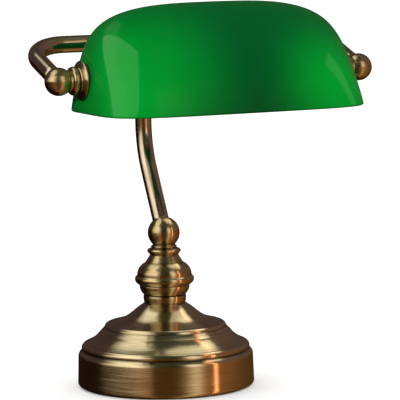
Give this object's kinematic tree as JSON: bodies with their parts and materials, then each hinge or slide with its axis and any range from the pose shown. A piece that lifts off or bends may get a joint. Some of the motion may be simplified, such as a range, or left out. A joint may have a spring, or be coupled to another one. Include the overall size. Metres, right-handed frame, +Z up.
{
  "type": "banker desk lamp",
  "caption": "Banker desk lamp: a green glass shade that tilts on side pivots, a U-shaped yoke, a leaning bent stem, a turned column and a round weighted brass base.",
  "frame": {"origin": "centre of the underside of the felt pad, on the surface the lamp stands on", "axes": "+Z up; -Y towards the shade's deep front, where the reader sits; +X along the tilt axis, towards the end without the lampholder"},
  "size_m": [0.2206, 0.1907, 0.2499],
  "materials": {
    "antique_brass_brushed": "antique brass, spun and brushed round",
    "antique_brass_turned": "antique brass, turned and lightly brushed",
    "antique_brass_tube": "antique brass, polished tube",
    "green_glass": "green cased glass, white inside, fire-polished",
    "opal_bulb_glass": "opal white glass",
    "nickel_cap": "nickel-plated",
    "plain_brass": "plain brass",
    "zinc_steel": "zinc-plated",
    "cast_iron": "rough, painted",
    "felt": "felt",
    "black_plastic": "moulded",
    "white_plastic": "moulded",
    "flex_sheath": "soft sheath",
    "black_rubber": "rubber"
  },
  "bodies": {
    "stand": {"felt_pad": "felt", "base_weight": "cast_iron", "base_shell": "antique_brass_brushed", "base_nut": "zinc_steel", "base_washer": "zinc_steel", "threaded_rod": "zinc_steel", "cable_bushing": "black_plastic", "terminal_block": "white_plastic", "terminal_screws": "zinc_steel", "earth_screw": "plain_brass", "earth_tag": "zinc_steel", "lower_vase": "antique_brass_turned", "waist_ring": "antique_brass_turned", "upper_vase": "antique_brass_turned", "neck_collar": "antique_brass_turned", "column_ball": "antique_brass_turned", "stem_tube": "antique_brass_tube", "yoke_tube": "antique_brass_tube", "inner_flex": "flex_sheath", "lampholder_cap": "black_plastic", "lampholder_body": "black_plastic", "lampholder_thread": "plain_brass", "lampholder_contact": "plain_brass", "bulb_cap": "nickel_cap", "bulb_glass": "opal_bulb_glass", "side_ball_left": "antique_brass_turned", "side_ball_right": "antique_brass_turned", "side_collar_left": "antique_brass_turned", "side_collar_right": "antique_brass_turned", "nipple_left": "zinc_steel", "nipple_right": "zinc_steel", "wave_washer_left": "zinc_steel", "wave_washer_right": "zinc_steel", "pivot_nut_left": "zinc_steel", "pivot_nut_right": "zinc_steel"},
    "shade": {"glass_shade": "green_glass", "flange_left": "antique_brass_turned", "flange_right": "antique_brass_turned", "ring_nut_left": "plain_brass", "ring_nut_right": "plain_brass", "outer_washer_left": "black_rubber", "outer_washer_right": "black_rubber", "inner_washer_left": "black_rubber", "inner_washer_right": "black_rubber"}
  },
  "joints": [
    {"name": "shade_tilt", "type": "hinge", "parent": "stand", "child": "shade", "pos_m": [0, -0.07606, 0.2052], "axis": [1, 0, 0], "range_deg": [-60, 60]}
  ]
}
